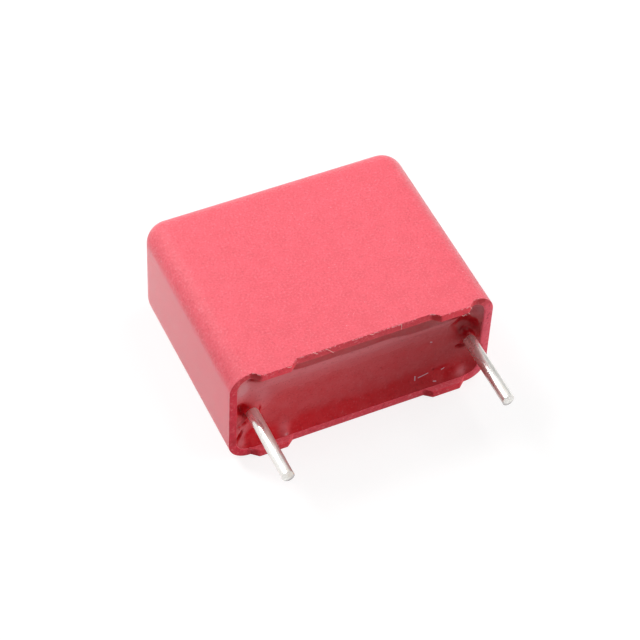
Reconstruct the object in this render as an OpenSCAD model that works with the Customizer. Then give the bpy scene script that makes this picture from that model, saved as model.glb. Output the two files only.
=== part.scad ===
// Box film capacitor with two wire leads, lying on one of its broad sides.
// X runs along the lead pitch. Y runs from the open end, where the leads come out, to the closed
// end. Z is the thickness. The origin is the middle of the broad side that the part lies on.

/* [Case] */
// Length of the case along the lead pitch
case_length = 18; // [16:0.5:32]
// Thickness of the case between its two broad sides
case_thickness = 8; // [7:0.1:10]
// Height of the case from its open rim to its closed end, without the feet
case_height = 14.5; // [13.5:0.1:17]
// Radius of the rounded outer edges
edge_radius = 1.5; // [1:0.05:2]
// Thickness of the four side walls
wall = 0.6; // [0.45:0.05:0.75]
// Thickness of the closed end
end_wall = 0.8; // [0.5:0.1:1.2]

/* [Stand-off feet] */
// How far each foot stands out past the open rim
foot_height = 0.4; // [0.2:0.05:0.8]
// Length of a foot along the rim, at its tip
foot_tip_length = 2; // [1:0.1:2.6]
// Length of the slope at each side of a foot
foot_slope = 0.5; // [0.2:0.05:0.8]
// Distance from the end of the case to the root of a foot
foot_inset = 1.4; // [1:0.1:2.5]

/* [Leads] */
// Distance from each end of the case to the axis of the lead there
lead_inset = 1.5; // [1.4:0.05:2.5]
// Diameter of the wire
lead_diameter = 0.8; // [0.6:0.05:0.9]
// Length of wire that stands out past the feet
lead_free_length = 5; // [3:0.5:25]
// Length of wire, past the open rim, that is still round
lead_round_inset = 0.05; // [0.02:0.01:0.1]
// Length over which the wire changes from round to flat
lead_taper_length = 0.6; // [0.4:0.1:1]
// Thickness of the wire where it is pressed flat, inside the resin
strip_thickness = 0.45; // [0.35:0.05:0.55]
// Length of flat wire that is welded along the contact layer
weld_length = 7.5; // [4:0.5:9]
// Depth that the flat wire is sunk into the contact layer
weld_sink = 0.15; // [0.05:0.05:0.3]

/* [Element] */
// Depth of resin between the open rim and the film winding
seal_depth = 2; // [1:0.1:3]
// Resin left between the film winding and each broad side of the case
winding_side_gap = 0.4; // [0.2:0.05:0.8]
// Resin left between the film winding and the closed end
winding_end_gap = 0.5; // [0.2:0.05:1]
// Thickness of each sprayed metal contact layer
spray_thickness = 0.5; // [0.4:0.05:0.8]
// Width of the slit that the winding pin left in the middle of the roll
slit_width = 0.2; // [0.1:0.05:0.4]
// Length of that slit across the pressed roll
slit_length = 4.6; // [3:0.1:5]

/* [Potting resin] */
// Depth of the rim that stands clear of the resin
resin_inset = 0.1; // [0.05:0.05:0.3]
// Depth of the dish in the resin face, at its middle
dish_depth = 0.45; // [0.2:0.05:0.7]
// Distance over which the dish rises to each end of the case
dish_rise = 3; // [2:0.25:5]
// Width of the flat border between the dish and the case
dish_border = 0.1; // [0.05:0.05:0.3]
// Thickness of the resin that climbs each wire, at its top
collar_wall = 0.1; // [0.05:0.05:0.2]
// How much wider that collar is at its foot, all round
collar_flare = 0.35; // [0.2:0.05:0.6]
// Clearance between the resin and whatever it holds or fills
bond_gap = 0.02; // [0.01:0.01:0.03]

/* [Hidden] */
// A cut runs this far past the faces that it opens
overcut = 1;
// Facets of small and of large round shapes in the preview
fine = 48;
coarse = 128;

// Levels along Y: the open rim, the tips of the feet and of the leads, the outside of the closed end
rim_y = -case_height / 2;
foot_tip_y = rim_y - foot_height;
lead_tip_y = foot_tip_y - lead_free_length;
closed_y = case_height / 2;
mid_z = case_thickness / 2;

// Inside of the case
cavity_length = case_length - 2 * wall;
cavity_thickness = case_thickness - 2 * wall;
cavity_radius = edge_radius - wall;
cavity_end_y = closed_y - end_wall;
cavity_depth = cavity_end_y - foot_tip_y;

// Feet, from their outer root to their inner root
foot_outer_x = case_length / 2 - foot_inset;
foot_inner_x = foot_outer_x - foot_tip_length - 2 * foot_slope;

// Film winding, pressed flat: two half-round edges joined by flat sides
winding_thickness = cavity_thickness - 2 * winding_side_gap;
winding_start_y = rim_y + seal_depth;
winding_end_y = cavity_end_y - winding_end_gap;
winding_height = winding_end_y - winding_start_y;
winding_mid_y = (winding_start_y + winding_end_y) / 2;

// Wire. Pressing it flat keeps the area of its section.
lead_x = case_length / 2 - lead_inset;
lead_radius = lead_diameter / 2;
strip_edge = strip_thickness / 2;
strip_width = PI * pow(lead_radius, 2) / strip_thickness;
taper_start_y = rim_y + lead_round_inset;
taper_end_y = taper_start_y + lead_taper_length;
lead_end_y = winding_start_y + weld_length;

// Contact layers, which the flat wires are sunk into
spray_face_x = lead_x - strip_edge + weld_sink;
winding_face_x = spray_face_x - spray_thickness;

// Potting resin, and the large barrel that dishes its face
resin_length = cavity_length - 2 * bond_gap;
resin_thickness = cavity_thickness - 2 * bond_gap;
resin_radius = cavity_radius - bond_gap;
resin_face_y = rim_y + resin_inset;
resin_end_y = cavity_end_y - bond_gap;
barrel_radius = arc_radius(resin_thickness / 2 - dish_border, dish_depth);
barrel_end_radius = arc_radius(dish_rise, dish_depth);
barrel_straight = resin_length - 2 * (dish_rise + dish_border);
collar_foot_y = resin_face_y + dish_depth;
collar_radius = lead_radius + collar_wall;
lead_hole_radius = lead_radius + bond_gap;

// Radius of the arc with this half chord that bulges by this much
function arc_radius(half_chord, bulge) = (half_chord * half_chord + bulge * bulge) / (2 * bulge);

// Repeats its children in all four quarters of the XZ plane
module four_quarters() {
    for (flip_x = [0, 1], flip_z = [0, 1])
        mirror([flip_x, 0, 0]) mirror([0, 0, flip_z]) children();
}

// A quarter of a cylinder that runs along +Z, in the corner between +X and +Y
module quarter_round(radius, length) {
    intersection() {
        cylinder(r = radius, h = length, $fn = fine);
        cube([radius, radius, length]);
    }
}

// An eighth of a ball, in the corner between +X, +Y and +Z
module eighth_ball(radius) {
    intersection() {
        sphere(r = radius, $fn = fine);
        cube(radius);
    }
}

// A box that is cut square at y = 0 and closed at y = height. Its four long edges and all edges and
// corners of its closed end are rounded. It is centred on X and Z.
module rounded_box(length, height, thickness, radius) {
    flat_x = length / 2 - radius;
    flat_z = thickness / 2 - radius;
    straight = height - radius;
    four_quarters() {
        cube([flat_x, height, flat_z]);
        translate([flat_x, 0, 0]) cube([radius, straight, flat_z]);
        translate([0, 0, flat_z]) cube([flat_x, straight, radius]);
        // Long edge
        translate([flat_x, straight, flat_z]) rotate([90, 0, 0]) quarter_round(radius, straight);
        // Edges of the closed end
        translate([flat_x, straight, 0]) quarter_round(radius, flat_z);
        translate([0, straight, flat_z]) rotate([90, 0, 90]) quarter_round(radius, flat_x);
        // Corner of the closed end
        translate([flat_x, straight, flat_z]) eighth_ball(radius);
    }
}

// Cuts the walls back to the open rim and leaves the trapezoid feet on the two broad sides
module rim_cut() {
    cut_y = foot_tip_y - overcut;
    cut_x = case_length / 2 + overcut;
    linear_extrude(case_thickness) {
        polygon([
            [-foot_inner_x, rim_y],
            [foot_inner_x, rim_y],
            [foot_inner_x + foot_slope, foot_tip_y],
            [foot_inner_x + foot_slope, cut_y],
            [-foot_inner_x - foot_slope, cut_y],
            [-foot_inner_x - foot_slope, foot_tip_y]
        ]);
        for (flip = [0, 1])
            mirror([flip, 0])
                polygon([
                    [foot_outer_x, rim_y],
                    [cut_x, rim_y],
                    [cut_x, cut_y],
                    [foot_outer_x - foot_slope, cut_y],
                    [foot_outer_x - foot_slope, foot_tip_y]
                ]);
    }
}

// Moulded case: a deep open box on four feet
module case() {
    color("#e4515e") difference() {
        translate([0, foot_tip_y, mid_z])
            rounded_box(case_length, closed_y - foot_tip_y, case_thickness, edge_radius);
        translate([0, foot_tip_y - overcut, mid_z])
            rounded_box(cavity_length, cavity_depth + overcut, cavity_thickness, cavity_radius);
        rim_cut();
    }
}

// The pressed roll between two faces along X, grown all round by a margin
module pressed_roll(from_x, to_x, margin = 0) {
    end_radius = winding_thickness / 2;
    flat_half = winding_height / 2 - end_radius;
    translate([from_x, winding_mid_y, mid_z]) rotate([90, 0, 90]) {
        translate([-flat_half, -end_radius - margin, 0])
            cube([2 * flat_half, 2 * (end_radius + margin), to_x - from_x]);
        for (side = [-1, 1])
            translate([side * flat_half, 0, 0])
                cylinder(r = end_radius + margin, h = to_x - from_x, $fn = fine);
    }
}

// Roll of metallised film, with the slit that the winding pin left
module film_winding() {
    color("gainsboro") difference() {
        pressed_roll(-winding_face_x, winding_face_x);
        translate([0, winding_mid_y, mid_z])
            cube([2 * (winding_face_x + overcut), slit_length, slit_width], center = true);
    }
}

// A round bar or cone on the axis of a lead, between two levels along Y
module lead_round(side, from_y, to_y, from_radius, to_radius) {
    translate([side * lead_x, from_y, mid_z])
        rotate([-90, 0, 0])
            cylinder(r1 = from_radius, r2 = to_radius, h = to_y - from_y, $fn = fine);
}

// The flat part of a wire, grown all round by a margin. A narrowing cone runs out into the flats,
// and a widening cone, trimmed to the strip, brings out its edges.
module lead_strip(side, margin = 0) {
    edge = strip_edge + margin;
    half_width = strip_width / 2 + margin;
    lead_round(side, taper_start_y, taper_end_y, lead_radius + margin, edge / 2);
    intersection() {
        lead_round(side, taper_start_y, taper_end_y, lead_radius + margin, edge + half_width);
        translate([side * lead_x - edge, taper_start_y, mid_z - half_width])
            cube([2 * edge, lead_taper_length, 2 * half_width]);
    }
    translate([side * lead_x - edge, taper_end_y, mid_z - half_width])
        cube([2 * edge, lead_end_y + margin - taper_end_y, 2 * half_width]);
}

// Tinned wire: round outside the resin, flat where it is welded to the contact layer
module lead(side) {
    color("silver") {
        lead_round(side, lead_tip_y, taper_start_y, lead_radius, lead_radius);
        lead_strip(side);
    }
}

// Sprayed metal on one end of the roll, with the groove in which the flat wire is welded
module end_spray(side) {
    color("darkgray") difference() {
        mirror([side < 0 ? 1 : 0, 0, 0]) pressed_roll(winding_face_x, spray_face_x);
        lead_strip(side, bond_gap);
    }
}

// Barrel along X that cuts the dish in the resin face
module dish_barrel() {
    translate([0, resin_face_y + dish_depth - barrel_radius, mid_z])
        rotate([0, 90, 0])
            rotate_extrude($fn = coarse) {
                translate([0, -barrel_straight / 2])
                    square([barrel_radius, barrel_straight]);
                for (flip = [0, 1])
                    mirror([0, flip])
                        translate([0, barrel_straight / 2])
                            intersection() {
                                translate([barrel_radius - barrel_end_radius, 0])
                                    circle(r = barrel_end_radius, $fn = coarse);
                                square([barrel_radius, dish_rise + overcut]);
                            }
            }
}

// Resin that climbs a wire, cut off where it reaches the end wall of the case
module wire_collar(side) {
    intersection() {
        lead_round(side, rim_y, collar_foot_y, collar_radius, collar_radius + collar_flare);
        translate([-resin_length / 2, rim_y - overcut, 0])
            cube([resin_length, case_height, case_thickness]);
    }
}

// Casting resin: it closes the open end and fills the case round the winding, the contact layers
// and the flat wires
module potting_resin() {
    color("#a3303c") difference() {
        union() {
            difference() {
                translate([0, resin_face_y, mid_z])
                    rounded_box(resin_length, resin_end_y - resin_face_y, resin_thickness, resin_radius);
                dish_barrel();
            }
            for (side = [-1, 1]) wire_collar(side);
        }
        pressed_roll(-spray_face_x - bond_gap, spray_face_x + bond_gap, bond_gap);
        for (side = [-1, 1]) {
            lead_round(side, rim_y - overcut, taper_start_y, lead_hole_radius, lead_hole_radius);
            lead_strip(side, bond_gap);
        }
    }
}

case();
potting_resin();
film_winding();
end_spray(-1);  // end_spray_left
end_spray(1);  // end_spray_right
lead(-1);  // lead_left
lead(1);  // lead_right
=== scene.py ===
# %% [markdown]
# # A box film capacitor, lying on its side
#
# The object is a small electronic part: a roll of metallised plastic film, pressed flat, with metal
# sprayed on both of its ends and a tinned wire welded to each. It stands in a moulded box that is
# filled with casting resin. The two wires come out of the open end, beside four little feet.
#
# The CAD model is loaded first, as a fixed frame in metres. Each piece that shows is then modelled
# again in finer detail inside that frame, and given its finish.

# %% Load the frame
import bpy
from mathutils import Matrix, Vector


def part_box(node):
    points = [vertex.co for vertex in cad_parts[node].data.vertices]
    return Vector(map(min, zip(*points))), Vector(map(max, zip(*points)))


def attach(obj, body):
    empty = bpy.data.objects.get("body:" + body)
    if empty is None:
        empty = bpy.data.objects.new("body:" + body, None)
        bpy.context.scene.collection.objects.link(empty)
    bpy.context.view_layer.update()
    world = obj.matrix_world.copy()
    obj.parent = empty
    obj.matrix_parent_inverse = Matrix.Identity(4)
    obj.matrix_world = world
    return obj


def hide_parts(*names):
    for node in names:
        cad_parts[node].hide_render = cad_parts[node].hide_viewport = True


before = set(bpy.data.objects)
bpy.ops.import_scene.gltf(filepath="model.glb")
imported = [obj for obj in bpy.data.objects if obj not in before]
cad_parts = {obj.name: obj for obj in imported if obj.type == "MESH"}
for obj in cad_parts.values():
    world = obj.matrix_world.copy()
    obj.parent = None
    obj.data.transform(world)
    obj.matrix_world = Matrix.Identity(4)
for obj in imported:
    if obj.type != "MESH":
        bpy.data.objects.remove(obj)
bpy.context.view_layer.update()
print("CAD nodes:", sorted(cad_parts))

# %% [markdown]
# Sizes of parts like this are given in millimetres, and Blender counts in metres. One short name for
# a millimetre keeps every number below readable. The sizes that the pieces share are measured on the
# CAD nodes, so that the new pieces fit where the old ones were.

# %% Measure the CAD nodes
import math
import bmesh
import bpy
import numpy as np
from mathutils import Matrix, Vector

MM = 0.001
case_low, case_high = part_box("case")
wire_low, wire_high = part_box("lead_right")
FOOT_HEIGHT = 0.4 * MM
WALL = 0.6 * MM
CLOSED_WALL = 0.8 * MM
OUTER_ROUND = 1.5 * MM
INNER_ROUND = OUTER_ROUND - WALL
RIM = case_low.y + FOOT_HEIGHT
CAVITY_END = case_high.y - CLOSED_WALL
MIDDLE_Z = (case_low.z + case_high.z) / 2
WIRE_X = (wire_low.x + wire_high.x) / 2
WIRE_RADIUS = (wire_high.x - wire_low.x) / 2
RESIN_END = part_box("potting_resin")[1].y
ROLL_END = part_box("film_winding")[1].y
for measured in ("case", "potting_resin", "lead_right"):
    low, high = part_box(measured)
    print(measured, [round(v / MM, 2) for v in low], [round(v / MM, 2) for v in high])

# %% [markdown]
# ## The camera
#
# A picture of a small part is taken from some way off with a long lens, so that its edges stay
# nearly parallel. The camera looks down at the part at about 49 degrees, from the left of the open
# end, and it is turned a little about its own axis. The three directions of the camera are worked
# out from those angles and put into its matrix as columns.

# %% Set up the camera
azimuth = math.radians(-27.241)
elevation = math.radians(49.157)
roll = math.radians(3.226)
back = Vector((
    math.sin(azimuth) * math.cos(elevation),
    -math.cos(azimuth) * math.cos(elevation),
    math.sin(elevation),
))
level = Vector((math.cos(azimuth), math.sin(azimuth), 0))
upright = back.cross(level)
across = math.cos(roll) * level + math.sin(roll) * upright
upward = math.cos(roll) * upright - math.sin(roll) * level
camera_data = bpy.data.cameras.new("studio_camera")
camera_data.sensor_width = 36
camera_data.lens = 136.726
camera_data.clip_start = 0.005
camera_data.clip_end = 10
camera = bpy.data.objects.new("studio_camera", camera_data)
bpy.context.scene.collection.objects.link(camera)
stand = across * 0.5859 * MM + upward * 1.1442 * MM + back * 158.947 * MM
camera.matrix_world = (
    Matrix.Translation(stand) @ Matrix((across, upward, back)).transposed().to_4x4()
)
bpy.context.scene.camera = camera
print("camera stands", round(stand.length / MM, 1), "mm from the middle of the part")

# %% [markdown]
# ## Working by hand, in code
#
# The pieces are modelled as by hand: a primitive is added, shaped in edit mode, and finished with
# modifiers. An operator acts on all that is selected, so a few helpers do what the mouse would do:
# add a block between two corners, select the parts of a mesh whose places pass a test, open and
# close edit mode, and apply a modifier.

# %% Helpers for modelling
def start_block(name, low, high):
    """Adds a cube primitive between two corners, with its object at the origin."""
    bpy.ops.object.select_all(action="DESELECT")
    bpy.ops.mesh.primitive_cube_add(size=1, location=(Vector(low) + Vector(high)) / 2)
    piece = bpy.context.active_object
    piece.name = name
    piece.data.name = name
    piece.scale = Vector(high) - Vector(low)
    bpy.ops.object.transform_apply(location=True, rotation=True, scale=True)
    return piece


def pick(piece, kind, test):
    """In edit mode, selects the verts, edges or faces whose corners pass the test."""
    bpy.ops.mesh.select_mode(type=kind)
    bpy.ops.mesh.select_all(action="DESELECT")
    mesh = bmesh.from_edit_mesh(piece.data)
    rows = {"VERT": mesh.verts, "EDGE": mesh.edges, "FACE": mesh.faces}[kind]
    count = 0
    for row in rows:
        corners = [row.co] if kind == "VERT" else [v.co for v in row.verts]
        if test(corners):
            row.select_set(True)
            count += 1
    bmesh.update_edit_mesh(piece.data)
    return count


def edit(piece):
    """Makes a piece the only selected one and opens it in edit mode."""
    if bpy.context.mode != "OBJECT":
        bpy.ops.object.mode_set(mode="OBJECT")
    bpy.ops.object.select_all(action="DESELECT")
    piece.select_set(True)
    bpy.context.view_layer.objects.active = piece
    bpy.ops.object.mode_set(mode="EDIT")


def leave(piece):
    """Closes edit mode."""
    bpy.ops.object.mode_set(mode="OBJECT")


def apply_modifier(piece, kind, **settings):
    """Adds a modifier with these settings and applies it."""
    modifier = piece.modifiers.new(kind.lower(), kind)
    for key, value in settings.items():
        setattr(modifier, key, value)
    bpy.ops.object.select_all(action="DESELECT")
    piece.select_set(True)
    bpy.context.view_layer.objects.active = piece
    bpy.ops.object.modifier_apply(modifier=modifier.name)


def near(value, target):
    """True if two lengths agree to a hundredth of a millimetre."""
    return abs(value - target) < 0.01 * MM


def report(piece):
    """Prints the number of faces of a piece and its size."""
    size = [round(v / MM, 2) for v in piece.dimensions]
    print(piece.name, len(piece.data.polygons), "faces,", size, "mm")

# %% [markdown]
# ## The moulded case
#
# The case is an injection moulding: a box of thin walls, closed at one end, with its outer edges
# rounded so that it leaves the mould. It could be made from six plates, but a moulding has
# no seams, so one block is bevelled, and its open end is inset by the wall thickness and pushed in
# to make the cavity. The inset keeps the same centre for the inner corners, as a mould does.

# %% Round the block and hollow it
case = start_block("moulded_case", (case_low.x, RIM, case_low.z), case_high)
edit(case)


def is_outer_edge(corners):
    """The four long edges and the four edges of the closed end."""
    a, b = corners
    along = abs(a.y - b.y) > 1 * MM
    at_closed_end = near(a.y, case_high.y) and near(b.y, case_high.y)
    return along or at_closed_end


picked = pick(case, "EDGE", is_outer_edge)
bpy.ops.mesh.bevel(offset=OUTER_ROUND, segments=14, profile=0.5, affect="EDGES")
print("rounded", picked, "edges")
pick(case, "FACE", lambda corners: all(near(c.y, RIM) for c in corners))
bpy.ops.mesh.inset(thickness=WALL, use_even_offset=True)
bpy.ops.mesh.extrude_region_move(
    TRANSFORM_OT_translate={"value": (0, CAVITY_END - RIM, 0)}
)
pick(case, "EDGE", lambda corners: all(near(c.y, CAVITY_END) for c in corners))
bpy.ops.mesh.bevel(offset=0.4 * MM, segments=4, profile=0.5, affect="EDGES")
leave(case)
report(case)

# %% [markdown]
# The mouth of the cavity is eased at its two short ends, where the core of the mould was worn. The
# resin later creeps over this slope, so the rim looks narrower there. To find the edges, one helper
# tells how far a point lies inside a rectangle with round corners, since the case and its cavity
# both have that outline.

# %% Ease the mouth at both ends
def inside_outline(x, z, half_x, half_z, corner):
    """How far a point of the open end lies inside a round-cornered rectangle."""
    out_x = np.abs(x) - (half_x - corner)
    out_z = np.abs(z - MIDDLE_Z) - (half_z - corner)
    beyond = np.hypot(np.maximum(out_x, 0), np.maximum(out_z, 0))
    within = np.minimum(np.maximum(out_x, out_z), 0)
    return corner - beyond - within


def is_mouth_edge(corners, side):
    """Edges of the mouth round one short end of the case."""
    for c in corners:
        gap = inside_outline(c.x, c.z, case_high.x, MIDDLE_Z, OUTER_ROUND)
        if not near(c.y, RIM) or not near(gap, WALL) or c.x * side < END_START:
            return False
    return True


END_START = case_high.x - OUTER_ROUND - 0.01 * MM
LEFT_LAP = 0.22 * MM
RIGHT_LAP = 0.12 * MM
edit(case)
for side, lap in ((-1, LEFT_LAP), (1, RIGHT_LAP)):
    picked = pick(case, "EDGE", lambda corners: is_mouth_edge(corners, side))
    bpy.ops.mesh.bevel(offset=lap, segments=2, profile=0.5, affect="EDGES")
    print("eased", picked, "edges of the mouth")
leave(case)
report(case)

# %% [markdown]
# Four low feet stand on the rim, two on each broad wall. They keep the case off the circuit board so
# that solder fumes can escape. The walls are cut across where each foot starts and ends, and the
# piece of rim between the cuts is extruded and narrowed to the length of the foot's tip.

# %% Raise the feet from the rim
FOOT_MIDDLE = 6.1 * MM
FOOT_ROOT = 3 * MM
FOOT_TIP = 2 * MM
foot_starts = [FOOT_MIDDLE - FOOT_ROOT / 2, FOOT_MIDDLE + FOOT_ROOT / 2]
edit(case)
for side in (-1, 1):
    for start in foot_starts:
        bpy.ops.mesh.select_all(action="SELECT")
        bpy.ops.mesh.bisect(plane_co=(side * start, 0, 0), plane_no=(1, 0, 0))


def is_foot_rim(corners):
    """Faces of the rim that a foot stands on."""
    slack = 0.01 * MM
    middle = sum(c.x for c in corners) / len(corners)
    for c in corners:
        if not near(c.y, RIM) or c.x * middle < 0:
            return False
        if not foot_starts[0] - slack < abs(c.x) < foot_starts[1] + slack:
            return False
    return True


picked = pick(case, "FACE", is_foot_rim)
bpy.ops.mesh.extrude_region_move(TRANSFORM_OT_translate={"value": (0, -FOOT_HEIGHT, 0)})
for side in (-1, 1):
    pick(case, "VERT", lambda corners: near(corners[0].y, case_low.y) and corners[0].x * side > 0)
    bpy.ops.transform.resize(
        value=(FOOT_TIP / FOOT_ROOT, 1, 1),
        center_override=(side * FOOT_MIDDLE, case_low.y, MIDDLE_Z),
    )
leave(case)
print("feet raised from", picked, "faces of the rim")
report(case)

# %% [markdown]
# No moulded edge is a knife edge. A bevel modifier that looks only at sharp angles rounds the rim
# and the feet by a tenth of a millimetre, which is what catches the light on them. The big curves
# are left alone, because their facets meet at a small angle.

# %% Ease the rim and the feet
apply_modifier(
    case, "BEVEL", width=0.10 * MM, segments=3, limit_method="ANGLE",
    angle_limit=math.radians(33), use_clamp_overlap=True,
)
bpy.ops.object.shade_smooth_by_angle(angle=math.radians(32))
report(case)

# %% [markdown]
# Where the two halves of the mould met, a little plastic was squeezed out and tore off in threads.
# Each thread is a small disc extruded from point to point, in millimetres. All are joined to the
# case, and the number of faces before that is kept, to give the threads their own finish later.

# %% Threads of flash on the rim
THREADS = [
    ((-3.46, -7.22, 8.01), (-3.36, -7.29, 7.94), (-3.28, -7.30, 7.88), (-3.20, -7.27, 7.86)),
    ((-2.66, -7.24, 7.97), (-2.50, -7.29, 7.88), (-2.30, -7.31, 7.68), (-2.12, -7.28, 7.45)),
    ((2.46, -7.22, 8.00), (2.50, -7.30, 7.88), (2.47, -7.31, 7.70), (2.52, -7.28, 7.52)),
    ((-5.42, -7.60, 8.00), (-5.30, -7.68, 7.95), (-5.12, -7.67, 7.93)),
    ((6.52, -7.66, 7.42), (6.62, -7.69, 7.34), (6.74, -7.67, 7.38), (6.86, -7.66, 7.30)),
    ((6.98, -7.66, 7.46), (7.05, -7.69, 7.36), (7.10, -7.62, 7.28)),
    ((7.02, -7.62, 7.99), (7.12, -7.67, 7.90), (7.16, -7.64, 7.72)),
    ((0.30, -7.22, 7.99), (0.45, -7.29, 7.95), (0.62, -7.27, 7.93)),
]
THREAD_RADIUS = 0.024 * MM
first_thread_face = len(case.data.polygons)
threads = []
for points in THREADS:
    bpy.ops.object.select_all(action="DESELECT")
    bpy.ops.mesh.primitive_circle_add(
        vertices=6, radius=THREAD_RADIUS, fill_type="NGON", location=Vector(points[0]) * MM,
    )
    thread = bpy.context.active_object
    bpy.ops.object.transform_apply(location=True, rotation=True, scale=True)
    edit(thread)
    bpy.ops.mesh.select_all(action="SELECT")
    for here, there in zip(points, points[1:]):
        move = (Vector(there) - Vector(here)) * MM
        bpy.ops.mesh.extrude_region_move(TRANSFORM_OT_translate={"value": tuple(move)})
    bpy.ops.mesh.select_all(action="SELECT")
    bpy.ops.mesh.normals_make_consistent(inside=False)
    leave(thread)
    threads.append(thread)
bpy.ops.object.select_all(action="DESELECT")
for thread in threads:
    thread.select_set(True)
case.select_set(True)
bpy.context.view_layer.objects.active = case
bpy.ops.object.join()
print(len(threads), "threads of flash")
report(case)

# %% [markdown]
# ## The casting resin
#
# The resin is poured in round the roll and the wires and then hardens. While it is liquid it climbs
# the walls and the wires a little, so its face is a shallow dish with a raised border. As it shrinks
# it also leaves hollows, small holes and creases, most of them round the wires. Such a face follows
# no simple primitive, so a fine grid is laid over the opening and its points are moved: each feature
# is a small function of the place on the face, with a name, a centre and a size.

# %% Lay a grid over the opening
GRID_POINTS = (280, 112)
CLEARANCE = 0.005 * MM
HALF_X = case_high.x - WALL - CLEARANCE
HALF_Z = MIDDLE_Z - WALL - CLEARANCE
bpy.ops.object.select_all(action="DESELECT")
bpy.ops.mesh.primitive_grid_add(
    x_subdivisions=GRID_POINTS[0], y_subdivisions=GRID_POINTS[1], size=2,
    location=(0, RIM, MIDDLE_Z), rotation=(math.radians(90), 0, 0),
)
resin = bpy.context.active_object
resin.name = "cast_resin"
resin.data.name = "cast_resin"
resin.scale = (HALF_X, HALF_Z, 1)
bpy.ops.object.transform_apply(location=True, rotation=True, scale=True)
report(resin)

# %% [markdown]
# The opening has round corners and the grid has square ones. In each corner the points are drawn in
# with the usual mapping of a square onto a disc, which leaves the sides where they are. At the two
# short ends the border is then let out over the eased mouth, where the resin has crept. That fades
# in near the ends, over a few tenths of a millimetre.

# %% Fit the grid to the opening
def smooth(value, low, high):
    """Goes softly from 0 at low to 1 at high."""
    part = np.clip((value - low) / (high - low), 0, 1)
    return part * part * (3 - 2 * part)


count = len(resin.data.vertices)
places = np.zeros(count * 3)
resin.data.vertices.foreach_get("co", places)
places = places.reshape(-1, 3)
side_x = np.sign(places[:, 0])
side_z = np.sign(places[:, 2] - MIDDLE_Z)
u = np.clip((np.abs(places[:, 0]) - HALF_X + INNER_ROUND) / INNER_ROUND, 0, 1)
v = np.clip((np.abs(places[:, 2] - MIDDLE_Z) - HALF_Z + INNER_ROUND) / INNER_ROUND, 0, 1)
round_u = u * np.sqrt(1 - v * v / 2)
round_v = v * np.sqrt(1 - u * u / 2)
fitted_x = places[:, 0] + side_x * INNER_ROUND * (round_u - u)
fitted_z = places[:, 2] + side_z * INNER_ROUND * (round_v - v)
wall_gap = inside_outline(fitted_x, fitted_z, HALF_X, HALF_Z, INNER_ROUND) / MM
wall_gap = np.clip(wall_gap, 0, None)
lap = np.where(side_x < 0, LEFT_LAP, RIGHT_LAP) - 2 * CLEARANCE
near_end = smooth(np.abs(fitted_x), 7.35 * MM, 7.65 * MM)
face_x = (fitted_x + side_x * lap * round_u) / MM
face_z = (fitted_z + side_z * lap * round_v * near_end) / MM
print("points drawn in at the corners:", int(((u > 0) & (v > 0)).sum()))

# %% [markdown]
# Depth is counted in millimetres from the rim into the case. The dish and its raised border come
# first, from each point's distance to the nearest wall. The border under the upper wall is a wider
# slope of its own, where the resin climbed further. The smooth ripples of the skin are a few broad
# sine waves of different lengths, so they don't repeat within the face.

# %% Sink the dish and ripple its skin
def dent(centre, reach, turn=0, power=2):
    """A soft oval round a centre: two reaches, a turn in degrees, 1 in the middle and 0 far off."""
    c = math.cos(math.radians(turn))
    s = math.sin(math.radians(turn))
    du = ((face_x - centre[0]) * c + (face_z - centre[1]) * s) / reach[0]
    dv = ((face_z - centre[1]) * c - (face_x - centre[0]) * s) / reach[1]
    return np.exp(-((du * du + dv * dv) ** (power / 2)))


DISH_DEPTH = 0.50
BORDER_DEPTH = 0.03
BORDER_WIDTH = 0.50
depth = (BORDER_DEPTH - DISH_DEPTH) * np.exp(-((wall_gap / BORDER_WIDTH) ** 1.2)) + DISH_DEPTH
under_top = smooth(face_z, 5.4, 6.1) * smooth(7.5 - np.abs(face_x + 0.1), 0.0, 0.9)
slope_end = 0.86 + 0.20 * smooth(face_x, 1.5, 4.0) - 0.25 * smooth(-face_x, 4.3, 5.0)
slope = BORDER_DEPTH + 0.24 * np.clip(wall_gap / slope_end, 0, 1)
slope += 0.22 * smooth(wall_gap, slope_end, 3.6)
depth = depth * (1 - under_top) + slope * under_top
depth += (0.015 * np.sin(1.9 * face_x + 0.7 * face_z)
          + 0.010 * np.sin(-1.1 * face_x + 2.3 * face_z + 1.0)) * smooth(wall_gap, 0.1, 0.8)
depth += 0.004 * np.sin(4.7 * face_x + 3.1 * face_z + 2.0)
depth += 0.003 * np.sin(6.3 * face_x - 5.9 * face_z + 0.5)
print("dish is", round(float(depth.max()), 2), "mm deep")

# %% [markdown]
# Next come the flaws: at each end a deep hollow beside the wire where the resin shrank away, small
# blow holes, a pulled crease, ridges along the end wall, and a few tiny pits further out. Each row
# holds a name, the centre (across, up), the two reaches, a turn in degrees, the depth, and a power
# that makes the edge soft at 2 and crisp at 5. The resin also clings to the two wires, so round each
# of them the face is drawn up in a broad swell before the flaws and in a narrow collar after them.
# The wires stand a little off their nominal places, by the two drifts.

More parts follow.
